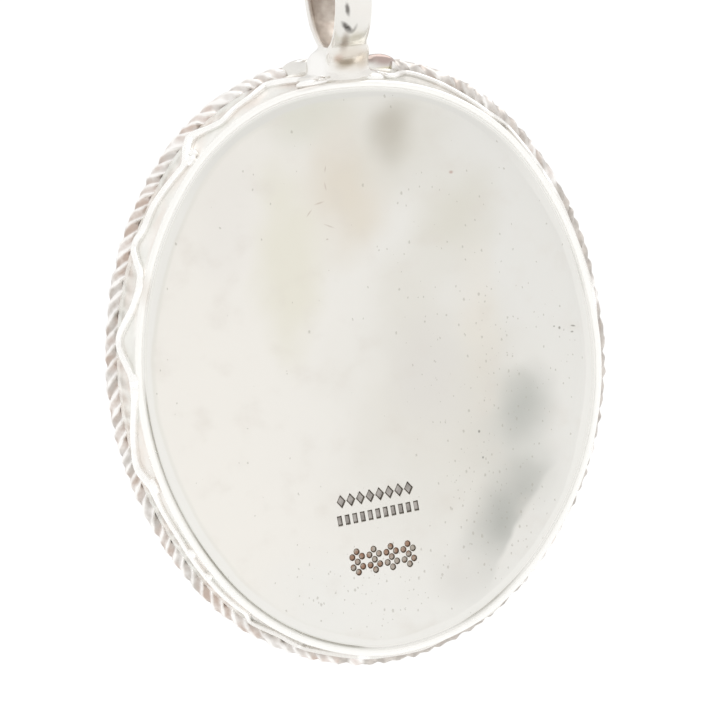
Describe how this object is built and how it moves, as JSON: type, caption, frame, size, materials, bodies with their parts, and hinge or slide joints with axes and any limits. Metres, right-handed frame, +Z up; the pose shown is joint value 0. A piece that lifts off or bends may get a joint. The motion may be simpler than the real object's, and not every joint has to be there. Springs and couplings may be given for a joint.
{
  "type": "relief pendant",
  "caption": "Oval silver relief pendant: pillowed back plate in a bezel wall with a zigzag wire and a twisted rim, a domed relief front and a soldered ring bail.",
  "frame": {"origin": "top of the inside of the bail's hole, where a chain carries the hanging pendant", "axes": "+Z up as it hangs, -Y out of the relief front, +Y out of the back plate, +X to the right seen from the front"},
  "size_m": [0.0302, 0.0094, 0.0443],
  "materials": {
    "polished_back": "polished sterling silver, finely scratched, with soft tarnish spots",
    "aged_wall": "sterling silver, tarnished in the recesses, polished at the back edge",
    "bright_wire": "polished sterling silver wire",
    "aged_rim": "sterling silver, bright on the tips and brown in the pockets",
    "relief_silver": "sterling silver with darkened ground",
    "polished_bail": "polished sterling silver"
  },
  "bodies": {
    "root": {"back_plate": "polished_back", "bezel_wall": "aged_wall", "wave_wire": "bright_wire", "toothed_rim": "aged_rim", "relief_plaque": "relief_silver", "bail": "polished_bail"}
  },
  "joints": []
}
